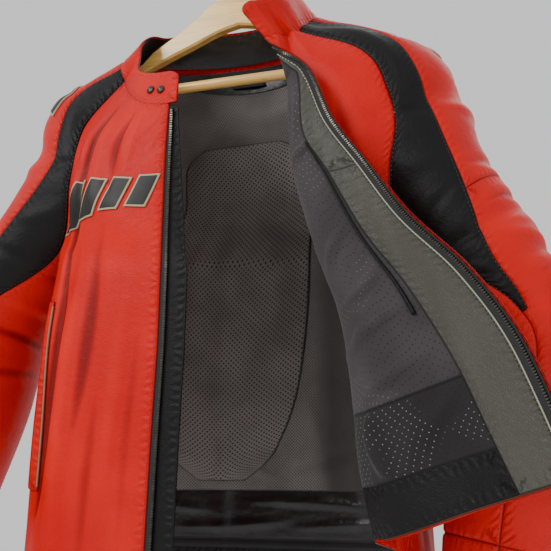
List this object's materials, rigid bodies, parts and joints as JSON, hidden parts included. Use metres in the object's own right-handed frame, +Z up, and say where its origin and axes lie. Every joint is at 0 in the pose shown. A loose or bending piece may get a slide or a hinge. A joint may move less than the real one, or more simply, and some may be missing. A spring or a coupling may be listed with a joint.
{
  "type": "leather motorcycle jacket on a wooden hanger",
  "caption": "Leather motorcycle jacket hanging open on a flat wooden hanger, with its left front folded back to show the lining, back protector and zip.",
  "frame": {"origin": "inner top of the hanger's hook, where a rail carries it", "axes": "+Z up, -Y towards the jacket's front, +X towards the wearer's left"},
  "size_m": [0.7546, 0.3342, 0.759],
  "materials": {
    "red_leather": "semi-gloss grain",
    "black_leather": "satin",
    "facing_leather": "satin grain",
    "patch_leather": "matte",
    "mesh_lining": "perforated mesh",
    "satin_lining": "satin",
    "padding": "perforated mesh over foam",
    "zip_tape": "woven",
    "gunmetal": "dark",
    "pale_wood": "lacquered",
    "steel_wire": "plated"
  },
  "bodies": {
    "root": {"front_right": "red_leather", "front_left": "red_leather", "back_panel": "red_leather", "side_right": "red_leather", "side_left": "red_leather", "shoulder_strip_right": "black_leather", "shoulder_strip_left": "black_leather", "sleeve_upper_right": "red_leather", "sleeve_upper_left": "red_leather", "sleeve_lower_right": "red_leather", "sleeve_lower_left": "red_leather", "sleeve_under_right": "red_leather", "sleeve_under_left": "red_leather", "cuff_right": "red_leather", "cuff_left": "red_leather", "collar": "red_leather", "collar_lining": "satin_lining", "collar_snap_1": "gunmetal", "collar_snap_2": "gunmetal", "zip_tape_right": "zip_tape", "wind_strip_right": "satin_lining", "zip_slider": "gunmetal", "zip_pull": "gunmetal", "pocket_welt_right": "red_leather", "chest_bar_1": "patch_leather", "chest_bar_2": "patch_leather", "chest_bar_3": "patch_leather", "chest_bar_4": "patch_leather", "zip_tape_left": "zip_tape", "facing_left_upper": "facing_leather", "facing_left_lower": "facing_leather", "lining_left_upper": "mesh_lining", "lining_left_lower": "mesh_lining", "hem_facing_left": "black_leather", "inner_pocket_piping": "facing_leather", "pocket_welt_left": "red_leather", "lining_side_left": "mesh_lining", "lining_back": "mesh_lining", "waist_band_back": "satin_lining", "joining_zip_back": "zip_tape", "hem_facing_back": "black_leather", "neck_facing": "satin_lining", "hanger_loop": "facing_leather", "back_protector": "padding", "sleeve_patch_right": "patch_leather", "sleeve_patch_left": "patch_leather", "hanger_body": "pale_wood", "hanger_bar": "pale_wood", "hanger_hook": "steel_wire"}
  },
  "joints": []
}
